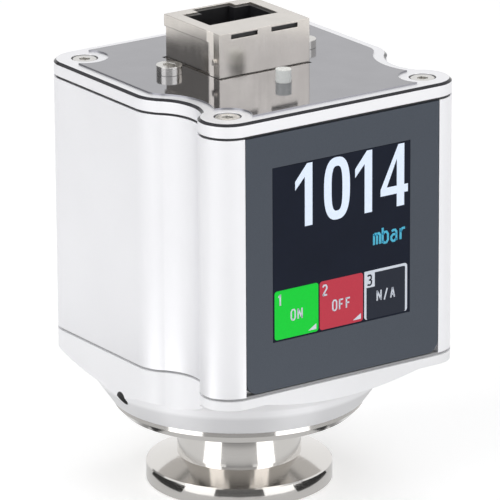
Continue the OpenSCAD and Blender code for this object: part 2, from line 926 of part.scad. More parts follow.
module jack_contacts() {
    color(gold)
        for (i = [0 : contact_count - 1])
            translate([(i - (contact_count - 1) / 2) * contact_pitch - contact_t / 2, port_y, port_z])
                rotate([90, 0, 90]) linear_extrude(contact_t) contact_profile();
}

module jack_screws() {
    socket_r = stud_head_d / 2 * hex_part;
    color(steel)
        at_studs()
            difference() {
                union() {
                    rod(stud_head_d / 2, label_top, label_top + stud_head_h);
                    rod(stud_r, jack_board_z - nut_h, label_top);
                }
                translate([0, 0, label_top + stud_head_h / 2])
                    cylinder(r = socket_r, h = stud_head_h, $fn = 6);
            }
}

module jack_spacers() {
    color(steel)
        at_studs() ring(stud_r + fit + spacer_wall, stud_r + fit, jack_z, cap_z);
}

module jack_nuts() {
    color(steel)
        at_studs()
            difference() {
                translate([0, 0, jack_board_z - nut_h]) cylinder(r = nut_d / 2, h = nut_h, $fn = 6);
                rod(stud_r + fit / 2, jack_board_z - nut_h - over, jack_board_z + over);
            }
}

module light_pipe() {
    color([0.9, 0.91, 0.9])
        translate([pipe_x, pipe_y, 0]) {
            rod(pipe_r, led_top + fit, label_top + pipe_rise);
            rod(pipe_r + pipe_shoulder, cap_z - pipe_shoulder_h, cap_z);
        }
}

module status_led() {
    color([0.95, 0.93, 0.8])
        slab(pipe_x, led_l, pipe_y - led_l / 4, pipe_y + led_l / 4, jack_z, led_top);
}

flange_tube();
inlet_filter();
filter_ring();
sensor_seal();
sensor_header();
pin_seals();
sensor_pins();
sensor_chip();
sensor_can();
clamp_ring();
sensor_board();
sensor_plug();
base_cap();
lock_screw();
base_gasket();
housing();
main_board();
main_chips();
board_header();
link_cable();
link_sockets();
front_panel();
screen_glass();
display_module();
display_board();
top_gasket();
top_cap();
top_label();
top_screws();
jack_board();
jack_shield();
jack_insert();
jack_contacts();
jack_screws();
jack_spacers();
jack_nuts();
light_pipe();
status_led();
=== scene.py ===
"""Dresses the vacuum gauge: a finish for every piece, the screen's lit face and a small studio."""

import math

import bpy
from mathutils import Matrix, Vector


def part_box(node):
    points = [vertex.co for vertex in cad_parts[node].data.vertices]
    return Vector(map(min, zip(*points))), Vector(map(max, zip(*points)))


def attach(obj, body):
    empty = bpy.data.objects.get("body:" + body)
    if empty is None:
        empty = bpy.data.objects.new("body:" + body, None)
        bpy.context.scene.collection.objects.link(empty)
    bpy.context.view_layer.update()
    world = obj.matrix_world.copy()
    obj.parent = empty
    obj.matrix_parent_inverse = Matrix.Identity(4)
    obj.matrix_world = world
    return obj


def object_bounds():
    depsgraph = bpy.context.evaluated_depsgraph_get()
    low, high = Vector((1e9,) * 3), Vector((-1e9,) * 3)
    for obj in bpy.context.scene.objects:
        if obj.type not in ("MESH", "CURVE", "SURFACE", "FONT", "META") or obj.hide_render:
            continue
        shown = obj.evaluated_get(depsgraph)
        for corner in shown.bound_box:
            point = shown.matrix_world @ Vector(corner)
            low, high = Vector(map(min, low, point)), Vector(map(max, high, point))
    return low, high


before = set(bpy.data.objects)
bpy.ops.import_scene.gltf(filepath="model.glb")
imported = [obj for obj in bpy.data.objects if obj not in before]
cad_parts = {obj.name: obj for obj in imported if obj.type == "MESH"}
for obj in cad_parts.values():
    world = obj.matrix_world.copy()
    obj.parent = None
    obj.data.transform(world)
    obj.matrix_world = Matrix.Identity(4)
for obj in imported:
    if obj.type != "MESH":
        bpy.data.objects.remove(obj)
CAD_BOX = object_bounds()

bl_info = {
    "name": "Vacuum gauge dresser",
    "version": (1, 0, 0),
    "blender": (4, 5, 0),
    "location": "3D View > Sidebar > Gauge",
    "description": "Finishes, screen face and studio for a vacuum gauge with a touch screen",
    "category": "Object",
}

MM = 0.001
ROOT = "root"
GLASS_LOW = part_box("screen_glass")[0]
LID_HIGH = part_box("top_cap")[1]
OBJECT_MIDDLE = (CAD_BOX[0].z + CAD_BOX[1].z) / 2
WHITE = (1, 1, 1, 1)


# Properties


def length(name, description, default):
    """A length of the part, in metres."""
    return bpy.props.FloatProperty(
        name=name, description=description, default=default, unit="LENGTH", precision=5
    )


def number(name, description, default):
    """A plain number."""
    return bpy.props.FloatProperty(name=name, description=description, default=default)


def angle(name, description, degrees):
    """An angle, written in degrees."""
    return bpy.props.FloatProperty(
        name=name, description=description, default=math.radians(degrees), subtype="ANGLE"
    )


def colour(name, description, default):
    """A linear colour."""
    return bpy.props.FloatVectorProperty(
        name=name, description=description, default=default, size=3, min=0, max=1, subtype="COLOR"
    )


class GaugeFinishes(bpy.types.PropertyGroup):
    """Colours and tones of the gauge's pieces, with painted shade, a painted shadow and a painted
    reflection among the tones
    """

    aluminium: colour("Aluminium", "Satin body and lid", (0.80, 0.80, 0.82))
    base: colour("Base", "Coarsely blasted base", (0.92, 0.92, 0.94))
    # Painted shade: below a height, the base's colour darkens to this part of itself over the
    # downward bowl
    bowl_shade: number("Bowl tone", "Tone of the bowl as a part of the base's colour", 0.80)
    bowl_top: length("Bowl tone top", "Height at which the bowl begins to deepen", 18.2 * MM)
    bowl_fade: length("Bowl tone fade", "Height over which the bowl deepens", 0.8 * MM)
    # Painted shadow: the base's colour darkens to this part of itself in and round the set screw's
    # hole
    hole_shadow: number("Hole tone", "Tone of the set screw's hole as a part of the base's colour", 0.12)
    hole_rim: length("Hole rim", "How far the dark of the hole reaches past its screw", 0.15 * MM)
    # Painted dark reflection: the polished bevel round the lid is coloured nearly black
    bevel: colour("Lid bevel", "Polished bevel round the lid", (0.05, 0.05, 0.055))
    steel: colour("Turned steel", "Flange, neck and collar", (0.71, 0.69, 0.665))
    screw: colour("Screw steel", "Screws, nuts and spacers", (0.62, 0.61, 0.59))
    plain_steel: colour("Plain steel", "Sensor, filter and rings", (0.50, 0.49, 0.47))
    panel: colour("Panel", "Painted front panel", (0.072, 0.085, 0.108))
    screen: colour("Screen", "Dark glass of the screen", (0.008, 0.012, 0.026))
    plate: colour("Lid plate", "Glossy plate on the lid", (0.28, 0.28, 0.30))
    shield: colour("Shield", "Nickel-plated sheet of the socket", (0.65, 0.615, 0.575))
    fold_back: length("Fold place", "How far the side fold lies behind the front", 1.6 * MM)
    fold_width: length("Fold width", "Width of the shield's side fold", 1.9 * MM)
    fold_tilt: angle("Fold tilt", "How far the side fold turns towards the front", 25)
    gold: colour("Contacts", "Gold-plated contacts and pins", (0.80, 0.56, 0.20))
    black_plastic: colour("Black plastic", "Socket insert, plugs and chips", (0.012, 0.012, 0.014))
    board: colour("Circuit board", "Solder mask of the boards", (0.015, 0.14, 0.05))
    rubber: colour("Rubber", "Seal under the lid", (0.040, 0.040, 0.044))
    silicone: colour("Silicone", "Seal on the base", (0.42, 0.42, 0.43))
    edge: length("Edge", "Roundness of the metal's edges in the light", 0.15 * MM)
    milky: colour("Light pipe", "Milky plastic of the light pipe", (0.78, 0.80, 0.78))
    pale_plastic: colour("Pale plastic", "Cable sockets", (0.60, 0.55, 0.43))
    film: colour("Cable film", "Flat cable", (0.68, 0.65, 0.52))
    silicon: colour("Silicon", "Sensor chip", (0.12, 0.13, 0.16))
    bead: colour("Bead glass", "Glass beads round the pins", (0.05, 0.10, 0.07))


class ScreenFace(bpy.types.PropertyGroup):
    """Sizes and colours of what the screen shows"""

    thickness: length("Mark thickness", "How far a mark stands on the glass", 0.02 * MM)
    unit: bpy.props.StringProperty(name="Unit", description="Under the reading", default="mbar")
    digit_low: length("Digit foot", "Height of the digits' feet", 51.0 * MM)
    digit_height: length("Digit height", "Height of the digits", 10.05 * MM)
    digit_pitch: length("Digit pitch", "Spacing of the digits", 5.65 * MM)
    digit_first: length("First digit", "Middle of the first digit's stem", -6.6 * MM)
    pen: length("Pen", "Stroke width of the digits", 1.42 * MM)
    flag_reach: length("Flag reach", "Reach of the one's flag", 1.8 * MM)
    flag_drop: length("Flag drop", "Drop of the one's flag", 2.6 * MM)
    zero_width: length("Zero width", "Width of the zero", 4.9 * MM)
    zero_shift: length("Zero place", "How far the zero stands past its pitch", -0.3 * MM)
    four_reach: length("Four reach", "Reach of the four's bar to the left of its stem", 3.1 * MM)
    four_shift: length("Four place", "How far the four stands past its pitch", 0.5 * MM)
    four_bar: length("Four bar", "Height of the four's bar above the foot", 2.1 * MM)
    unit_size: length("Unit size", "Height of the unit's tall letters", 2.5 * MM)
    unit_left: length("Unit left", "Left end of the unit", 5.8 * MM)
    unit_low: length("Unit foot", "Foot of the unit's letters", 45.5 * MM)
    unit_pitch: length("Unit pitch", "Spacing of the unit's letters", 1.66 * MM)
    letter_pen: number("Pen of the letters", "Stroke width as a part of a letter's height", 0.16)
    letter_width: number("Width of the letters", "Narrowing of the letters", 0.78)
    tile_width: length("Button width", "Width of a button", 8.25 * MM)
    tile_height: length("Button height", "Height of a button", 7.9 * MM)
    tile_gap: length("Button gap", "Gap between two buttons", 0.25 * MM)
    tile_corner: length("Button corner", "Corner radius of a button", 0.5 * MM)
    tile_rim: length("Rim", "Width of the spare button's rim", 0.42 * MM)
    index_size: length("Number size", "Height of a button's number", 1.8 * MM)
    index_inset: length("Number inset", "From a button's edges to its number", 0.6 * MM)
    square_corner: length("Square corner", "Corner radius of a number's square", 0.1 * MM)
    word_size: length("Word size", "Height of a button's word", 1.65 * MM)
    word_pitch: length("Word pitch", "Spacing of a word's letters", 1.3 * MM)
    word_low: length("Word foot", "Foot of a word above the button's foot", 2.75 * MM)
    mark_width: length("Mark width", "Width of the mark in a button's corner", 1.5 * MM)
    mark_height: length("Mark height", "Height of the mark in a button's corner", 0.9 * MM)
    digit_colour: colour("Digits", "The reading", (0.72, 0.81, 0.95))
    unit_colour: colour("Unit", "The unit under the reading", (0.07, 0.42, 0.60))
    on_colour: colour("On button", "First button", (0.0, 0.60, 0.035))
    off_colour: colour("Off button", "Second button", (0.48, 0.035, 0.06))
    spare_colour: colour("Spare button", "Third button", (0.011, 0.015, 0.028))
    ink_colour: colour("Button ink", "Words and rims of the buttons", (0.66, 0.70, 0.78))


def card_light(name, mirror, default):
    """The light of a grey card, told by what mirrors it to the camera."""
    return number(name, f"Light of the card that {mirror} mirrors", default)


class Studio(bpy.types.PropertyGroup):
    """Camera and light of the studio"""

    azimuth: angle("Azimuth", "Camera's turn to the left of the front", 34.5)
    elevation: angle("Elevation", "Camera's height above the horizon", 17.98)
    roll: angle("Roll", "Camera's tilt", -0.35)
    distance: length("Distance", "From the camera to its target", 0.85)
    target_height: length("Target height", "Point that the camera looks at", 38.19 * MM)
    lens: number("Lens", "Focal length in millimetres", 384.64)
    shift: number("Shift", "Sideways shift of the frame", 0.0241)
    floor_colour: colour("Floor", "Pale floor", (0.92, 0.92, 0.92))
    floor_glow: number("Floor glow", "Light of the floor towards the camera", 0.30)
    room_light: number("Room light", "Strength of the room's even light", 0.50)
    key_power: number("Key", "Power of the large lamp on the left", 3.0)
    fill_power: number("Fill", "Power of the lamp on the right", 1.9)
    top_power: number("Top", "Power of the lamp overhead", 1.1)
    rim_radius: length("Rim radius", "Radius of the flange's rim, which mirrors the floor", 15 * MM)
    neck_radius: length("Neck radius", "Radius of the neck, which mirrors the floor", 10 * MM)
    foot_card: card_light("Foot card", "the lower half of the flange's rim", 0.66)
    rim_card: card_light("Rim card", "the front of the flange's rim", 0.13)
    rim_side_card: card_light("Rim side cards", "each side of the flange's rim", 0.04)
    rim_band_card: card_light("Rim band cards", "the rim between its front and its sides", 1.5)
    band_card: card_light("Band cards", "the neck between its front and its sides", 2.4)
    neck_low_card: card_light("Neck card, low", "the foot of the neck", 0.40)
    neck_card: card_light("Neck card", "the front of the neck", 0.66)
    neck_top_card: card_light("Neck card, top", "the top of the neck", 0.27)
    collar_card: card_light("Collar card", "the front of the collar", 0.42)
    wing_low_card: card_light("Wing cards, low", "each side of the neck's foot", 0.30)
    wing_card: card_light("Wing cards", "each side of the neck", 0.80)
    collar_wing_card: card_light("Collar wings", "each side of the collar", 0.56)
    socket_card: card_light("Socket card", "the socket's left side", 0.30)
    socket_start: angle("Socket card's start", "Where the socket's card begins, to the left", 70)
    socket_end: angle("Socket card's end", "Where the socket's card ends, to the left", 135)
    rim_half: angle("Rim card's width", "Half the width of the card in front of the rim", 19.5)
    rim_wing: angle("Rim wings", "Where the rim's cards at the sides begin", 46)
    rim_wing_end: angle("Rim wings' end", "Where the rim's cards at the sides end", 88)
    neck_half: angle("Neck card's width", "Half the width of the card in front of the neck", 28)
    wing_start: angle("Wing start", "Where the neck's cards at the sides begin", 56)
    wing_end: angle("Wing end", "Where the neck's cards at the sides end", 150)


def finishes():
    return bpy.context.scene.gauge_finishes


def face():
    return bpy.context.scene.gauge_screen


def studio():
    return bpy.context.scene.gauge_studio


# Finishes


class Nodes:
    """Adds nodes to a tree, with short ways to those that are used often."""

    def __init__(self, tree):
        self.tree = tree

    def node(self, kind, links=None, **values):
        """A node with its properties and its input values set and its inputs linked."""
        made = self.tree.nodes.new(kind)
        for key, value in values.items():
            setattr(made, key, value)
        for socket, source in (links or {}).items():
            if hasattr(source, "is_output"):
                self.link(source, made.inputs[socket])
            else:
                made.inputs[socket].default_value = source
        return made

    def link(self, source, socket):
        self.tree.links.new(source, socket)

    def calc(self, operation, *values):
        """The result of one step of arithmetic."""
        return self.node("ShaderNodeMath", dict(enumerate(values)), operation=operation).outputs[0]

    def split(self, vector):
        """The three parts of a vector."""
        return self.node("ShaderNodeSeparateXYZ", {"Vector": vector}).outputs

    def join(self, **parts):
        """A vector from its parts."""
        return self.node("ShaderNodeCombineXYZ", parts).outputs[0]

    def mapped(self, value, start=0.0, end=1.0, low=0.0, high=1.0):
        """The stretch of a value from start to end, laid over low to high."""
        links = {"Value": value, "From Min": start, "From Max": end, "To Min": low, "To Max": high}
        return self.node("ShaderNodeMapRange", links).outputs["Result"]

    def seen(self):
        """1 for rays from the camera, off mirrors and through glass, and 0 for all others."""
        rays = self.node("ShaderNodeLightPath").outputs
        mirrored = self.calc("MAXIMUM", rays["Is Camera Ray"], rays["Is Glossy Ray"])
        return self.calc("MAXIMUM", mirrored, rays["Is Transmission Ray"])


class Finish(Nodes):
    """A material whose plain values sit on its shader, with patterns on Object coordinates."""

    # Where the middle of a noise lies between 0 and 1
    NOISE_LOW, NOISE_HIGH = 0.3, 0.7
    # The colour sockets of a mix node
    MIX_A, MIX_B, MIX_RESULT = 6, 7, 2

    def __init__(self, name, base, roughness, metallic=0.0, **sockets):
        self.material = bpy.data.materials.new(name)
        self.material.use_nodes = True
        super().__init__(self.material.node_tree)
        self.shader = self.tree.nodes["Principled BSDF"]
        self.base = tuple(base) + (1.0,)
        values = {"Base Color": self.base, "Roughness": roughness, "Metallic": metallic, **sockets}
        for socket, value in values.items():
            self.shader.inputs[socket].default_value = value
        self.spot = self.node("ShaderNodeTexCoord").outputs["Object"]

    def stretched(self, upright):
        """Object coordinates with the height drawn out, for marks that run upwards."""
        links = {"Vector": self.spot, "Scale": (1, 1, upright)}
        return self.node("ShaderNodeMapping", links).outputs["Vector"]

    def around(self):
        """Distance from the upright axis and height, for marks that run round a turned piece."""
        parts = self.split(self.spot)
        flat = self.join(X=parts["X"], Y=parts["Y"])
        radius = self.node("ShaderNodeVectorMath", {0: flat}, operation="LENGTH").outputs["Value"]
        return self.join(X=radius, Y=parts["Z"])

    def facing(self):
        """The three parts of the way that the surface faces."""
        return self.split(self.node("ShaderNodeNewGeometry").outputs["True Normal"])

    def noise(self, grains, spot=None, detail=3.0):
        """Noise from 0 to 1, in grains per metre."""
        links = {"Vector": spot or self.spot, "Scale": grains, "Detail": detail}
        return self.node("ShaderNodeTexNoise", links).outputs["Fac"]

    def spread(self, value, low=0.0, high=1.0):
        """Spreads the middle of a noise over low to high."""
        return self.mapped(value, self.NOISE_LOW, self.NOISE_HIGH, low, high)

    def tint(self, value, other):
        """The base colour moves towards another colour where the value is high."""
        mix = self.node("ShaderNodeMix", {"Factor": value}, data_type="RGBA")
        mix.inputs[self.MIX_A].default_value = self.base
        mix.inputs[self.MIX_B].default_value = tuple(other) + (1.0,)
        self.link(mix.outputs[self.MIX_RESULT], self.shader.inputs["Base Color"])
        return self

    def clouded(self, noise, part):
        """The base colour falls to a part of itself where a noise is high."""
        return self.tint(self.spread(noise), darker(self.base[:3], part))

    def deepen(self, mask, part):
        """The colour so far falls to a part of itself where the mask is 1."""
        socket = self.shader.inputs["Base Color"]
        links = {0: socket.links[0].from_socket, "Scale": self.mapped(mask, low=1.0, high=part)}
        scaled = self.node("ShaderNodeVectorMath", links, operation="SCALE")
        self.link(scaled.outputs["Vector"], socket)
        return self

    def relief(self, value, depth, strength, edge=0.0):
        """Bumps as deep as depth, on edges that look as round as edge, in metres."""
        links = {"Height": value, "Distance": depth, "Strength": strength}
        bump = self.node("ShaderNodeBump", links)
        if edge:
            rounded = self.node("ShaderNodeBevel", {"Radius": edge}, samples=6)
            self.link(rounded.outputs["Normal"], bump.inputs["Normal"])
        self.link(bump.outputs["Normal"], self.shader.inputs["Normal"])
        return self

    def worn(self, grains, smooth, rough, spot=None, detail=3.0, part=None, **bumps):
        """The roughness follows a noise, and so do the colour and the bumps if given."""
        noise = self.noise(grains, spot, detail)
        self.link(self.spread(noise, smooth, rough), self.shader.inputs["Roughness"])
        if part:
            self.clouded(noise, part)
        if bumps:
            self.relief(noise, **bumps)
        return self

    def wear(self, *nodes):
        """Puts the finish on CAD nodes."""
        for name in nodes:
            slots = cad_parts[name].data.materials
            slots.clear()
            slots.append(self.material)
        return self


def darker(shade, part):
    return tuple(channel * part for channel in shade)


class GAUGE_OT_satin_body(bpy.types.Operator):
    """Satin aluminium on the housing, the base and the lid, with the lid's bevel polished and a
    dark reflection painted into its colour, painted shade on the base's bowl and a painted shadow
    in its set screw's hole
    """

    bl_idname = "gauge.satin_body"
    bl_label = "Satin body"

    BLAST = {"grains": 5200.0, "detail": 2.0, "smooth": 0.36, "rough": 0.46}
    BUMPS = {"depth": 0.004 * MM, "strength": 0.5}
    # The upward part of the bevel's normal, a face's leeway from it, and the bevel's roughness
    BEVEL_UP, BEVEL_RANGE, BEVEL_ROUGHNESS = math.sqrt(0.5), 0.1, 0.12

    def execute(self, context):
        look = finishes()
        self.satin("satin_aluminium", look.aluminium, metallic=1.0).wear("housing")
        self.base(look)
        self.lid(look)
        return {"FINISHED"}

    def satin(self, name, shade, metallic):
        """Blasted metal; the less metallic it is, the more it scatters and the less it mirrors."""
        made = Finish(name, shade, roughness=0.40, metallic=metallic)
        made.clouded(made.noise(grains=60.0), part=0.97)
        return made.worn(**self.BLAST, **self.BUMPS, edge=finishes().edge)

    def base(self, look):
        """As the body but mirroring less, with painted shade on the bowl and a painted shadow in
        the set screw's hole.
        """
        made = self.satin("satin_base", look.base, metallic=0.06)
        parts = made.split(made.spot)
        # Painted shade: the colour darkens below bowl_top, over bowl_fade, where the bowl faces
        # down
        below = made.mapped(parts["Z"], look.bowl_top, look.bowl_top - look.bowl_fade)
        made.deepen(below, look.bowl_shade)
        # Painted shadow: the colour darkens inside the set screw's hole and a little rim past it,
        # on the left side only
        low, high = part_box("lock_screw")
        middle = (low + high) / 2
        ends = {0: made.join(Y=parts["Y"], Z=parts["Z"]), 1: (0.0, middle.y, middle.z)}
        away = made.node("ShaderNodeVectorMath", ends, operation="DISTANCE").outputs["Value"]
        inside = made.calc("LESS_THAN", away, (high.z - low.z) / 2 + look.hole_rim)
        left = made.calc("LESS_THAN", parts["X"], 0.0)
        made.deepen(made.calc("MULTIPLY", inside, left), look.hole_shadow).wear("base_cap")

    def lid(self, look):
        """As the body, but polished where the top edge slopes, with a dark reflection painted into
        that bevel's colour.
        """
        lid = Finish("satin_lid", look.aluminium, roughness=0.40, metallic=1.0)
        lid.worn(**self.BLAST, **self.BUMPS, edge=look.edge)
        off = lid.calc("ABSOLUTE", lid.calc("SUBTRACT", lid.facing()["Z"], self.BEVEL_UP))
        mask = lid.calc("LESS_THAN", off, self.BEVEL_RANGE)
        socket = lid.shader.inputs["Roughness"]
        links = {"Factor": mask, "A": socket.links[0].from_socket, "B": self.BEVEL_ROUGHNESS}
        lid.link(lid.node("ShaderNodeMix", links).outputs[0], socket)
        # Painted dark reflection: where a face slopes as the bevel does, the colour falls nearly to
        # black
        lid.tint(mask, look.bevel).wear("top_cap")


class GAUGE_OT_turned_steel(bpy.types.Operator):
    """Polished turned steel on the flange, neck and collar, and plain steel inside"""

    bl_idname = "gauge.turned_steel"
    bl_label = "Turned steel"

    def execute(self, context):
        look = finishes()
        turned = Finish("turned_steel", look.steel, roughness=0.16, metallic=1.0)
        rings = {"spot": turned.around(), "detail": 4.0, "depth": 0.0005 * MM, "strength": 0.4}
        turned.worn(grains=4200.0, smooth=0.07, rough=0.15, **rings)
        turned.wear("flange_tube")
        plain = Finish("sensor_steel", look.plain_steel, roughness=0.30, metallic=1.0)
        plain.worn(grains=3000.0, smooth=0.22, rough=0.38, spot=plain.around())
        plain.wear("inlet_filter", "filter_ring", "sensor_header", "sensor_can", "clamp_ring")
        module = Finish("module_metal", look.plain_steel, roughness=0.35, metallic=1.0)
        module.worn(grains=900.0, smooth=0.28, rough=0.42, spot=module.stretched(upright=0.05))
        module.wear("display_module")
        return {"FINISHED"}


class GAUGE_OT_fasteners(bpy.types.Operator):
    """Polished steel on the screws, nuts and spacers"""

    bl_idname = "gauge.fasteners"
    bl_label = "Fasteners"

    def execute(self, context):
        screw = Finish("screw_steel", finishes().screw, roughness=0.2, metallic=1.0)
        bumps = {"depth": 0.002 * MM, "strength": 0.4, "edge": finishes().edge}
        screw.worn(grains=2600.0, smooth=0.14, rough=0.28, **bumps)
        screw.wear("top_screws", "lock_screw", "jack_screws", "jack_spacers", "jack_nuts")
        return {"FINISHED"}


class GAUGE_OT_seals(bpy.types.Operator):
    """Matt rubber on the seals"""

    bl_idname = "gauge.seals"
    bl_label = "Seals"

    def execute(self, context):
        self.seal("seal_rubber", finishes().rubber, "top_gasket", "sensor_seal")
        self.seal("seal_silicone", finishes().silicone, "base_gasket")
        return {"FINISHED"}

    def seal(self, name, shade, *nodes):
        made = Finish(name, shade, roughness=0.75)
        made.worn(grains=3500.0, smooth=0.65, rough=0.85, depth=0.01 * MM, strength=0.5)
        made.wear(*nodes)


class GAUGE_OT_front(bpy.types.Operator):
    """Fine-textured paint on the front panel and dark glass on the screen"""

    bl_idname = "gauge.front"
    bl_label = "Front panel and glass"

    def execute(self, context):
        look = finishes()
        paint = Finish("panel_paint", look.panel, roughness=0.55, **{"Specular IOR Level": 0.25})
        bumps = {"depth": 0.008 * MM, "strength": 0.5}
        paint.worn(grains=6500.0, smooth=0.48, rough=0.62, detail=2.0, part=0.9, **bumps)
        paint.wear("front_panel")
        glass = Finish("screen_cover", look.screen, roughness=0.08, **{"Specular IOR Level": 0.10})
        glass.worn(grains=140.0, smooth=0.05, rough=0.14, part=0.85).wear("screen_glass")
        return {"FINISHED"}


class GAUGE_OT_lid_plate(bpy.types.Operator):
    """Glossy grey on the plate of the lid, milky plastic on the light pipe"""

    bl_idname = "gauge.lid_plate"
    bl_label = "Lid plate and light pipe"

    def execute(self, context):
        look = finishes()
        plate = Finish("grey_plate", look.plate, roughness=0.07, metallic=1.0)
        plate.worn(grains=220.0, smooth=0.05, rough=0.10, part=0.94).wear("top_label")
        milk = {"Subsurface Weight": 0.3, "Subsurface Radius": (MM, MM, MM)}
        milky = Finish("clear_plastic", look.milky, roughness=0.25, **milk)
        milky.worn(grains=1500.0, smooth=0.18, rough=0.34).wear("light_pipe")
        lamp = Finish("lamp_plastic", look.milky, roughness=0.3)
        lamp.worn(grains=1500.0, smooth=0.25, rough=0.4).wear("status_led")
        return {"FINISHED"}


class GAUGE_OT_socket(bpy.types.Operator):
    """Nickel on the socket's shield, black plastic inside it and gold on its contacts"""

    bl_idname = "gauge.socket"
    bl_label = "Socket"

    # A face turned further to the left than this is the shield's left side
    LEFT_SIDE = -0.9

    def execute(self, context):
        look = finishes()
        nickel = Finish("shield_nickel", look.shield, roughness=0.22, metallic=1.0)
        nickel.clouded(nickel.noise(grains=180.0), part=0.9)
        rolled = {"spot": nickel.stretched(upright=0.08), "depth": 0.001 * MM, "strength": 0.3}
        nickel.worn(grains=1400.0, smooth=0.20, rough=0.27, edge=look.edge, **rolled)
        self.fold(nickel, look)
        nickel.wear("jack_shield")
        black = Finish("black_plastic", look.black_plastic, roughness=0.4)
        black.worn(grains=2500.0, smooth=0.34, rough=0.5, depth=0.006 * MM, strength=0.4)
        black.wear("jack_insert", "sensor_plug", "main_chips", "board_header")
        gold = Finish("contact_gold", look.gold, roughness=0.2, metallic=1.0)
        gold.worn(grains=3000.0, smooth=0.14, rough=0.28).wear("jack_contacts", "sensor_pins")
        return {"FINISHED"}

    def fold(self, nickel, look):
        """The left side turns a little to the front in a narrow fold behind its front corner."""
        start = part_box("jack_shield")[0].y + look.fold_back
        depth = look.fold_width * math.tan(look.fold_tilt)
        back = nickel.split(nickel.spot)["Y"]
        rise = nickel.mapped(back, start, start + look.fold_width, high=depth)
        left = nickel.calc("LESS_THAN", nickel.facing()["X"], self.LEFT_SIDE)
        height = nickel.calc("MULTIPLY", rise, left)
        socket = nickel.shader.inputs["Normal"]
        links = {"Height": height, "Distance": 1.0, "Normal": socket.links[0].from_socket}
        nickel.link(nickel.node("ShaderNodeBump", links).outputs["Normal"], socket)


class GAUGE_OT_inner_works(bpy.types.Operator):
    """Solder mask, film, chip and bead finishes on what sits inside"""

    bl_idname = "gauge.inner_works"
    bl_label = "Inner works"

    def execute(self, context):
        look = finishes()
        board = Finish("circuit_board", look.board, roughness=0.35)
        tracks = board.node("ShaderNodeTexBrick", {"Vector": board.spot, "Scale": 420.0})
        board.tint(tracks.outputs["Fac"], darker(look.board, part=1.7))
        board.worn(grains=900.0, smooth=0.28, rough=0.45)
        board.wear("main_board", "sensor_board", "display_board", "jack_board")
        film = Finish("cable_film", look.film, roughness=0.4)
        wires = film.node("ShaderNodeTexWave", {"Vector": film.spot, "Scale": 320.0})
        film.tint(wires.outputs["Fac"], darker(look.film, part=0.7)).wear("link_cable")
        pale = Finish("pale_plastic", look.pale_plastic, roughness=0.45)
        pale.worn(grains=2000.0, smooth=0.38, rough=0.55).wear("link_sockets")
        chip = Finish("sensor_silicon", look.silicon, roughness=0.15, metallic=0.6)
        chip.worn(grains=1200.0, smooth=0.1, rough=0.2).wear("sensor_chip")
        bead = Finish("bead_glass", look.bead, roughness=0.1)
        bead.worn(grains=2500.0, smooth=0.06, rough=0.16).wear("pin_seals")
        return {"FINISHED"}


# Screen face

# Letters as strokes, on a grid with a capital letter as high as GRID
GRID = 100
GLYPHS = {
    "m": [
        [(0, 0), (0, 72)],
        [(0, 58), (10, 70), (22, 70), (30, 58), (30, 0)],
        [(30, 58), (40, 70), (52, 70), (60, 58), (60, 0)],
    ],
    "b": [
        [(0, 0), (0, 100)],
        [(0, 54), (15, 70), (38, 70), (52, 54), (52, 16), (38, 0), (15, 0), (0, 16)],
    ],
    "a": [
        [(4, 64), (18, 70), (38, 70), (50, 58), (50, 0)],
        [(50, 42), (15, 42), (0, 30), (0, 12), (14, 0), (32, 0), (50, 14)],
    ],
    "r": [[(6, 0), (6, 72)], [(6, 48), (22, 70), (50, 70)]],
    "O": [
        [(15, 0), (42, 0), (57, 20), (57, 80), (42, 100), (15, 100), (0, 80), (0, 20), (15, 0)],
    ],
    "N": [[(0, 0), (0, 100)], [(0, 95), (56, 5)], [(56, 0), (56, 100)]],
    "F": [[(0, 0), (0, 100)], [(0, 94), (52, 94)], [(0, 50), (42, 50)]],
    "/": [[(4, -5), (48, 105)]],
    "A": [[(0, 0), (28, 100)], [(28, 100), (56, 0)], [(10, 32), (46, 32)]],
    "1": [[(10, 76), (32, 96)], [(32, 100), (32, 0)]],
    "2": [[(0, 78), (12, 94), (40, 94), (52, 78), (52, 62), (0, 6)], [(0, 6), (56, 6)]],
    "3": [
        [(0, 86), (12, 94), (38, 94), (50, 82), (50, 64), (38, 52), (18, 52)],
        [(38, 52), (52, 40), (52, 18), (38, 6), (12, 6), (0, 14)],
    ],
}


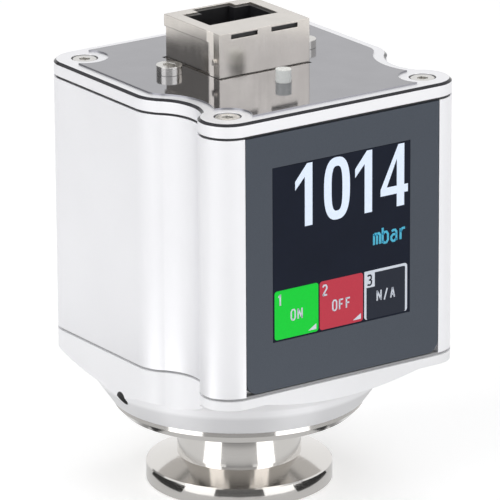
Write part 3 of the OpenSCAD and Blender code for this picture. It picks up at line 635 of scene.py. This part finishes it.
class MarkTree(Nodes):
    """A node tree that turns outlines into thin raised marks on the glass."""

    # Points nearer to each other than this become one
    WELD = 0.002 * MM
    CORNER_STEPS = 6

    def __init__(self, name, **inputs):
        super().__init__(bpy.data.node_groups.new(name, "GeometryNodeTree"))
        add = self.tree.interface.new_socket
        common = {"Thickness": "Float", "Plane": "Float", "Finish": "Material"}
        self.sockets = {}
        for label, kind in {"Geometry": "Geometry", **inputs, **common}.items():
            made = add(label, in_out="INPUT", socket_type="NodeSocket" + kind)
            self.sockets[label] = made.identifier
        add("Geometry", in_out="OUTPUT", socket_type="NodeSocketGeometry")
        self.source = self.tree.nodes.new("NodeGroupInput")
        self.sink = self.tree.nodes.new("NodeGroupOutput")

    def given(self, label):
        return self.source.outputs[label]

    def fill(self, outline):
        """The sheet inside closed outlines."""
        return self.node("GeometryNodeFillCurve", {"Curve": outline}).outputs["Mesh"]

    def ribbon(self, strokes, width):
        """The sheet along open strokes."""
        start, end = (self.join(X=self.calc("MULTIPLY", width, side)) for side in (-0.5, 0.5))
        pen = self.node("GeometryNodeCurvePrimitiveLine", {"Start": start, "End": end}).outputs[0]
        flat = self.node("GeometryNodeSetCurveNormal", {"Curve": strokes}, mode="Z_UP").outputs[0]
        swept = {"Curve": flat, "Profile Curve": pen}
        return self.node("GeometryNodeCurveToMesh", swept).outputs[0]

    def raise_mark(self, sheet):
        """Thickens the sheet, stands it up in front of the glass and gives it its finish."""
        up = {"Offset": self.join(Z=self.given("Thickness")), "Individual": False}
        grown = self.node("GeometryNodeExtrudeMesh", {"Mesh": sheet, **up})
        back = self.node("GeometryNodeFlipFaces", {"Mesh": sheet})
        joined = self.node("GeometryNodeJoinGeometry")
        for side in (grown, back):
            self.link(side.outputs["Mesh"], joined.inputs[0])
        weld = {"Geometry": joined.outputs[0], "Distance": self.WELD}
        closed = self.node("GeometryNodeMergeByDistance", weld)
        place = {"Translation": self.join(Y=self.given("Plane")), "Rotation": (math.pi / 2, 0, 0)}
        stood = self.node("GeometryNodeTransform", {"Geometry": closed.outputs[0], **place})
        real = self.node("GeometryNodeRealizeInstances", {"Geometry": stood.outputs[0]})
        finish = {"Geometry": real.outputs[0], "Material": self.given("Finish")}
        self.link(self.node("GeometryNodeSetMaterial", finish).outputs[0], self.sink.inputs[0])
        return self


def outline_tree():
    """Marks from the carrier's own curves."""
    made = MarkTree("raised_outline")
    return made.raise_mark(made.fill(made.given("Geometry")))


def stroke_tree():
    """Letters from the carrier's strokes, drawn with a flat pen."""
    made = MarkTree("raised_strokes", Pen="Float")
    return made.raise_mark(made.ribbon(made.given("Geometry"), made.given("Pen")))


def tile_tree():
    """A tile with round corners."""
    made = MarkTree("raised_tile", Centre="Vector", Width="Float", Height="Float", Corner="Float")
    size = {label: made.given(label) for label in ("Width", "Height")}
    square = made.node("GeometryNodeCurvePrimitiveQuadrilateral", size).outputs[0]
    ends = {"Curve": square, "Radius": made.given("Corner"), "Count": made.CORNER_STEPS}
    rounded = made.node("GeometryNodeFilletCurve", ends, mode="POLY").outputs[0]
    moved = {"Geometry": rounded, "Translation": made.given("Centre")}
    return made.raise_mark(made.fill(made.node("GeometryNodeTransform", moved).outputs[0]))


def placed(name, data):
    """A new object in the scene."""
    made = bpy.data.objects.new(name, data)
    bpy.context.scene.collection.objects.link(made)
    return made


def bake(carrier, mark_tree, name, **values):
    """Keeps what a tree makes of a carrier as a plain mesh on the part and drops the carrier."""
    modifier = carrier.modifiers.new("mark", "NODES")
    modifier.node_group = mark_tree.tree
    settings = {"Thickness": face().thickness, "Plane": GLASS_LOW.y, **values}
    for label, value in settings.items():
        modifier[mark_tree.sockets[label]] = value
    bpy.context.view_layer.update()
    shown = carrier.evaluated_get(bpy.context.evaluated_depsgraph_get())
    mesh = bpy.data.meshes.new_from_object(shown)
    if not mesh.polygons:
        raise RuntimeError(f"{name} came out empty")
    mesh.name = name
    bpy.data.objects.remove(carrier)
    piece = placed(name, mesh)
    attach(piece, ROOT)
    return piece


def curve_carrier(name, *loops, closed=True):
    """A carrier of outlines or open strokes, each a list of points across and up."""
    data = bpy.data.curves.new(name, "CURVE")
    for loop in loops:
        line = data.splines.new("POLY")
        line.points.add(len(loop) - 1)
        for point, (x, y) in zip(line.points, loop):
            point.co = (x, y, 0, 1)
        line.use_cyclic_u = closed
    return placed(name + "_outline", data)


def write(tree, name, word, size, left, low, pitch, **values):
    """A word of strokes, from its left end and its foot."""
    narrow = face().letter_width
    strokes = [
        [(left + i * pitch + x / GRID * size * narrow, low + y / GRID * size) for x, y in stroke]
        for i, letter in enumerate(word)
        for stroke in GLYPHS[letter]
    ]
    bake(curve_carrier(name, *strokes, closed=False), tree, name, **values)


def empty_carrier(name):
    return placed(name + "_carrier", bpy.data.meshes.new(name + "_carrier"))


def oval(x, y, half_w, half_h, power=2.6, steps=48):
    """A rounded oval, fuller than an ellipse."""
    points = []
    for i in range(steps):
        c, s = math.cos(math.tau * i / steps), math.sin(math.tau * i / steps)
        across = math.copysign(abs(c) ** (2 / power), c)
        up = math.copysign(abs(s) ** (2 / power), s)
        points.append((x + half_w * across, y + half_h * up))
    return points


def lit(name, shade, glow=0.12):
    """A shown colour on the screen, faintly uneven."""
    light = {"Emission Strength": glow, "Specular IOR Level": 0.2}
    made = Finish(name, shade, roughness=0.3, **light)
    made.shader.inputs["Emission Color"].default_value = made.base
    return made.clouded(made.noise(grains=4000.0), part=0.93).material


class GAUGE_OT_reading(bpy.types.Operator):
    """The large reading and its unit on the screen"""

    bl_idname = "gauge.reading"
    bl_label = "Reading"

    # The one's flag: its top as a part of half the pen, its foot as a part of the pen
    FLAG_TOP, FLAG_FOOT = 0.4, 1.45
    # The four: its bar and its slant's foot as parts of the pen, the slant's top of half the pen
    BAR, SLANT_FOOT, SLANT_TOP = 0.9, 0.75, 0.6
    # The hollow of the four: its top as a part of the pen, its reach as a part of the four's
    HOLLOW_TOP, HOLLOW_REACH = 1.6, 0.62
    # How full the hollow of the zero is
    HOLLOW_POWER = 3.0

    def execute(self, context):
        f = face()
        outlines = outline_tree()
        finish = lit("screen_digits", f.digit_colour, glow=0.25)
        for i, (figure, loops) in enumerate(self.figures(f)):
            middle = f.digit_first + i * f.digit_pitch
            moved = [[(x + middle, y + f.digit_low) for x, y in loop] for loop in loops]
            name = f"reading_{i + 1}_{figure}"
            bake(curve_carrier("digit", *moved), outlines, name, Finish=finish)
        ink = lit("screen_unit", f.unit_colour, glow=0.25)
        pen = {"Pen": f.unit_size * f.letter_pen, "Finish": ink}
        place = (f.unit_size, f.unit_left, f.unit_low, f.unit_pitch)
        write(stroke_tree(), "unit", f.unit, *place, **pen)
        return {"FINISHED"}

    def figures(self, f):
        """The digits of the reading, each with its outlines round the middle of its stem."""
        h, p, half = f.digit_height, f.pen, f.pen / 2
        flag, drop = -half - f.flag_reach, h - f.flag_drop
        one = [
            (half, 0), (half, h), (-half * self.FLAG_TOP, h), (flag, drop),
            (flag, drop - p), (-half, h - p * self.FLAG_FOOT), (-half, 0),
        ]
        zero = oval(f.zero_shift, h / 2, f.zero_width / 2, h / 2)
        hollow = oval(f.zero_shift, h / 2, f.zero_width / 2 - p, h / 2 - p, self.HOLLOW_POWER)
        bar, bar_top, reach = f.four_bar, f.four_bar + p * self.BAR, -half - f.four_reach
        four = [
            (half, 0), (half, bar), (p, bar), (p, bar_top), (half, bar_top), (half, h),
            (-half * self.SLANT_TOP, h), (reach, bar + p * self.SLANT_FOOT), (reach, bar),
            (-half, bar), (-half, 0),
        ]
        inner = -half - f.four_reach * self.HOLLOW_REACH
        inside = [(-half, bar_top), (-half, h - p * self.HOLLOW_TOP), (inner, bar_top)]
        four, inside = ([(x + f.four_shift, y) for x, y in loop] for loop in (four, inside))
        return [("one", [one]), ("zero", [zero, hollow]), ("one", [one]), ("four", [four, inside])]


class GAUGE_OT_buttons(bpy.types.Operator):
    """The row of buttons along the foot of the screen"""

    bl_idname = "gauge.buttons"
    bl_label = "Buttons"

    # A number's square as parts of the number's height
    SQUARE_WIDTH, SQUARE_HEIGHT = 1.1, 1.5
    # Width of a word's last letter on the letters' grid
    LAST_LETTER = 0.56

    def execute(self, context):
        f = face()
        tiles, strokes, outlines = tile_tree(), stroke_tree(), outline_tree()
        ink = lit("button_ink", f.ink_colour)
        row = [
            ("1", "ON", lit("button_on", f.on_colour, glow=0.2)),
            ("2", "OFF", lit("button_off", f.off_colour, glow=0.2)),
            ("3", "N/A", lit("button_spare", f.spare_colour)),
        ]
        low = GLASS_LOW.z + f.tile_gap
        top = low + f.tile_height
        for i, (index, word, finish) in enumerate(row):
            name = f"button_{i + 1}"
            spare = i == len(row) - 1
            left = GLASS_LOW.x + f.tile_gap + i * (f.tile_width + f.tile_gap)
            middle = (left + f.tile_width / 2, low + f.tile_height / 2, 0)
            size = {"Width": f.tile_width, "Height": f.tile_height, "Corner": f.tile_corner}
            if spare:
                bake(empty_carrier(name), tiles, name + "_rim", Centre=middle, Finish=ink, **size)
                size = {
                    "Width": f.tile_width - 2 * f.tile_rim,
                    "Height": f.tile_height - f.tile_rim,
                    "Corner": f.tile_corner / 2,
                    "Thickness": 2 * f.thickness,
                }
                middle = (middle[0], middle[1] - f.tile_rim / 2, 0)
            bake(empty_carrier(name), tiles, name, Centre=middle, Finish=finish, **size)
            raised = {"Thickness": 3 * f.thickness, "Finish": ink}
            shown = {"Pen": f.index_size * f.letter_pen, **raised}
            if spare:
                wide, tall = f.index_size * self.SQUARE_WIDTH, f.index_size * self.SQUARE_HEIGHT
                square = {"Width": wide, "Height": tall, "Corner": f.square_corner, **raised}
                centre = (left + wide / 2, top - tall / 2, 0)
                bake(empty_carrier(name), tiles, name + "_square", Centre=centre, **square)
                shown.update({"Thickness": 4 * f.thickness, "Finish": finish})
            place = (f.index_size, left + f.index_inset, top - f.index_size - f.index_inset, 0)
            write(strokes, name + "_number", index, *place, **shown)
            last = f.word_size * f.letter_width * self.LAST_LETTER
            start = middle[0] - ((len(word) - 1) * f.word_pitch + last) / 2
            place = (f.word_size, start, low + f.word_low, f.word_pitch)
            write(strokes, name + "_word", word, *place, Pen=f.word_size * f.letter_pen, **raised)
            if not spare:
                right, foot = left + f.tile_width - f.tile_rim, low + f.tile_rim
                mark = [(right, foot), (right, foot + f.mark_height), (right - f.mark_width, foot)]
                bake(curve_carrier(name + "_mark", mark), outlines, name + "_corner", **raised)
        return {"FINISHED"}


# Studio


class GAUGE_OT_stage(bpy.types.Operator):
    """Pale floor, white room, soft lamps and the camera"""

    bl_idname = "gauge.stage"
    bl_label = "Stage"

    # Half the floor's width and the lamps' distance, in metres
    FLOOR_HALF, LAMP_REACH = 3.0, 0.9
    # Heights of the cards on the floor, and the distance and the top of the upright one
    CARD_LOW, CARD_HIGH = 0.05 * MM, 0.08 * MM
    SOCKET_CARD_REACH, SOCKET_CARD_TOP = 0.40, 0.26

    def execute(self, context):
        s = studio()
        self.floor(s)
        self.room(s)
        self.lamps(s)
        self.cards(s)
        self.camera(s)
        context.scene.view_settings.view_transform = "Standard"
        return {"FINISHED"}

    def floor(self, s):
        half = self.FLOOR_HALF
        mesh = bpy.data.meshes.new("floor")
        corners = [(-half, -half, 0), (half, -half, 0), (half, half, 0), (-half, half, 0)]
        mesh.from_pydata(corners, [], [(0, 1, 2, 3)])
        floor = placed("floor", mesh)
        light = {"Specular IOR Level": 0.0, "Emission Color": WHITE}
        paper = Finish("floor_paper", s.floor_colour, roughness=0.9, **light)
        glow = paper.calc("MULTIPLY", paper.seen(), s.floor_glow)
        paper.link(glow, paper.shader.inputs["Emission Strength"])
        mesh.materials.append(paper.material)

    def room(self, s):
        world = bpy.data.worlds.new("white_room")
        world.use_nodes = True
        made = Nodes(world.node_tree)
        back = made.tree.nodes["Background"].inputs
        back["Color"].default_value = WHITE
        made.link(made.mapped(made.seen(), low=s.room_light, high=1.0), back["Strength"])
        bpy.context.scene.world = world

    def lamps(self, s):
        """Soft boxes, each given by its turn from the camera, its height angle, width and power."""
        middle = Vector((0, 0, OBJECT_MIDDLE))
        rig = [
            ("key_lamp", -55, 35, 0.8, s.key_power),
            ("fill_lamp", 50, 30, 0.7, s.fill_power),
            ("top_lamp", 170, 78, 0.6, s.top_power),
        ]
        for name, turn, rise, width, power in rig:
            lamp = bpy.data.lights.new(name, "AREA")
            lamp.size = width
            lamp.energy = power
            holder = placed(name, lamp)
            spot = middle + self.ray(s, math.radians(turn), math.radians(rise)) * self.LAMP_REACH
            holder.location = spot
            holder.rotation_euler = (middle - spot).to_track_quat("-Z", "Y").to_euler()

    def ray(self, s, turn, rise=0.0):
        """Direction from the part, turned to the camera's right and raised above the horizon."""
        a = s.azimuth - turn
        flat = math.cos(rise)
        return Vector((-math.sin(a) * flat, -math.cos(a) * flat, math.sin(rise)))

    def cards(self, s):
        """Grey cards that only mirrors see, on the floor round the flange and beside the socket."""
        slope = math.tan(s.elevation) + s.target_height / (s.distance * math.cos(s.elevation))

        def flat(height, *stops):
            """Rings where walls of some radius mirror the floor to the camera from some height."""
            return [(radius + spot * MM / slope, height, light) for radius, spot, light in stops]

        def even(height, light, *stops):
            """The same, with one light all over."""
            return flat(height, *((radius, spot, light) for radius, spot in stops))

        # Heights in millimetres at which the rim, the neck and the collar mirror a card's edges
        rim_foot, rim_middle, rim_top, side_low, side_top = 0.01, 1.7, 3.2, 1.15, 2.45
        neck_foot, neck_low, neck_high, neck_top, neck_end = 4.7, 6.2, 8.2, 9.0, 13
        wing_foot, wing_low, collar_low, collar_top = 3.9, 5.2, 16, 24
        rim, neck, low, high = s.rim_radius, s.neck_radius, self.CARD_LOW, self.CARD_HIGH
        middle, upper = (rim, rim_middle), (rim, rim_top)
        sides = (rim, side_low), (rim, side_top)
        front = flat(
            low,
            (*middle, s.neck_low_card),
            (neck, neck_foot, s.neck_low_card),
            (neck, neck_low, s.neck_card),
            (neck, neck_high, s.neck_card),
            (neck, neck_top, s.neck_top_card),
            (neck, neck_end, s.neck_top_card),
            (neck, collar_low, s.collar_card),
            (neck, collar_top, s.collar_card),
        )
        wing = flat(
            low,
            (*middle, s.wing_low_card),
            (neck, wing_foot, s.wing_low_card),
            (neck, wing_low, s.wing_card),
            (neck, neck_end, s.wing_card),
            (neck, collar_low, s.collar_wing_card),
            (neck, collar_top, s.collar_wing_card),
        )
        heights = (LID_HIGH.z, self.SOCKET_CARD_TOP)
        upright = [(self.SOCKET_CARD_REACH, height, s.socket_card) for height in heights]
        foot = even(low, s.foot_card, (rim, rim_foot), middle)
        rim_front = even(high, s.rim_card, middle, upper)
        rim_band = even(high, s.rim_band_card, middle, upper)
        rim_side = even(high, s.rim_side_card, *sides)
        band = even(low, s.band_card, middle, (neck, collar_top))
        strips = [
            ("card_foot", -math.pi, math.pi, foot),
            ("card_rim_front", -s.rim_half, s.rim_half, rim_front),
            ("card_neck_front", -s.neck_half, s.neck_half, front),
            ("card_socket", -s.socket_end, -s.socket_start, upright),
        ]
        for word, side in (("left", -1), ("right", 1)):
            strips += [
                ("card_rim_" + word, side * s.rim_wing, side * s.rim_wing_end, rim_side),
                ("card_rim_band_" + word, side * s.rim_half, side * s.rim_wing, rim_band),
                ("card_band_" + word, side * s.neck_half, side * s.wing_start, band),
                ("card_neck_" + word, side * s.wing_start, side * s.wing_end, wing),
            ]
        glow = {"Specular IOR Level": 0.0, "Emission Color": WHITE}
        shade = Finish("grey_card", (0, 0, 0), roughness=1.0, **glow)
        light = shade.node("ShaderNodeAttribute", attribute_name="light").outputs["Fac"]
        shade.link(light, shade.shader.inputs["Emission Strength"])
        for name, start, end, rings in strips:
            self.card(s, name, start, end, rings, shade.material)

    def card(self, s, name, start, end, rings, material, steps=24):
        """A strip round the axis from turn to turn, through rings of reach, height and light."""
        points, lights = [], []
        for i in range(steps + 1):
            way = self.ray(s, start + (end - start) * i / steps)
            for reach, height, light in rings:
                points.append(way * reach + Vector((0, 0, height)))
                lights.append(light)
        wide = len(rings)
        corners = [i * wide + j for i in range(steps) for j in range(wide - 1)]
        mesh = bpy.data.meshes.new(name)
        mesh.from_pydata(points, [], [(c, c + 1, c + wide + 1, c + wide) for c in corners])
        mesh.attributes.new("light", "FLOAT", "POINT").data.foreach_set("value", lights)
        mesh.materials.append(material)
        card = placed(name, mesh)
        for unseen in ("camera", "diffuse", "transmission", "volume_scatter", "shadow"):
            setattr(card, "visible_" + unseen, False)

    def camera(self, s):
        back = self.ray(s, 0.0, s.elevation)
        right = Vector((math.cos(s.azimuth), -math.sin(s.azimuth), 0))
        up = back.cross(right)
        c, r = math.cos(s.roll), math.sin(s.roll)
        axes = (c * right + r * up, c * up - r * right, back)
        data = bpy.data.cameras.new("camera")
        data.lens = s.lens
        data.shift_x = s.shift
        camera = placed("camera", data)
        turn = Matrix(axes).transposed().to_4x4()
        spot = Vector((0, 0, s.target_height)) + back * s.distance
        camera.matrix_world = Matrix.Translation(spot) @ turn
        bpy.context.scene.camera = camera


STEPS = (
    GAUGE_OT_satin_body,
    GAUGE_OT_turned_steel,
    GAUGE_OT_fasteners,
    GAUGE_OT_seals,
    GAUGE_OT_front,
    GAUGE_OT_lid_plate,
    GAUGE_OT_socket,
    GAUGE_OT_inner_works,
    GAUGE_OT_reading,
    GAUGE_OT_buttons,
    GAUGE_OT_stage,
)


class GAUGE_PT_dresser(bpy.types.Panel):
    """Lists the steps that dress the gauge"""

    bl_idname = "GAUGE_PT_dresser"
    bl_label = "Vacuum gauge"
    bl_space_type = "VIEW_3D"
    bl_region_type = "UI"
    bl_category = "Gauge"

    def draw(self, context):
        for step in STEPS:
            self.layout.operator(step.bl_idname)
        for group in (finishes(), face(), studio()):
            box = self.layout.box()
            for name in group.__annotations__:
                box.prop(group, name)


CLASSES = (GaugeFinishes, ScreenFace, Studio, *STEPS, GAUGE_PT_dresser)


def register():
    for cls in CLASSES:
        bpy.utils.register_class(cls)
    bpy.types.Scene.gauge_finishes = bpy.props.PointerProperty(type=GaugeFinishes)
    bpy.types.Scene.gauge_screen = bpy.props.PointerProperty(type=ScreenFace)
    bpy.types.Scene.gauge_studio = bpy.props.PointerProperty(type=Studio)


def unregister():
    del bpy.types.Scene.gauge_studio
    del bpy.types.Scene.gauge_screen
    del bpy.types.Scene.gauge_finishes
    for cls in reversed(CLASSES):
        bpy.utils.unregister_class(cls)


def main():
    register()
    bpy.ops.gauge.satin_body()
    bpy.ops.gauge.turned_steel()
    bpy.ops.gauge.fasteners()
    bpy.ops.gauge.seals()
    bpy.ops.gauge.front()
    bpy.ops.gauge.lid_plate()
    bpy.ops.gauge.socket()
    bpy.ops.gauge.inner_works()
    bpy.ops.gauge.reading()
    bpy.ops.gauge.buttons()
    bpy.ops.gauge.stage()


if __name__ == "__main__":
    main()
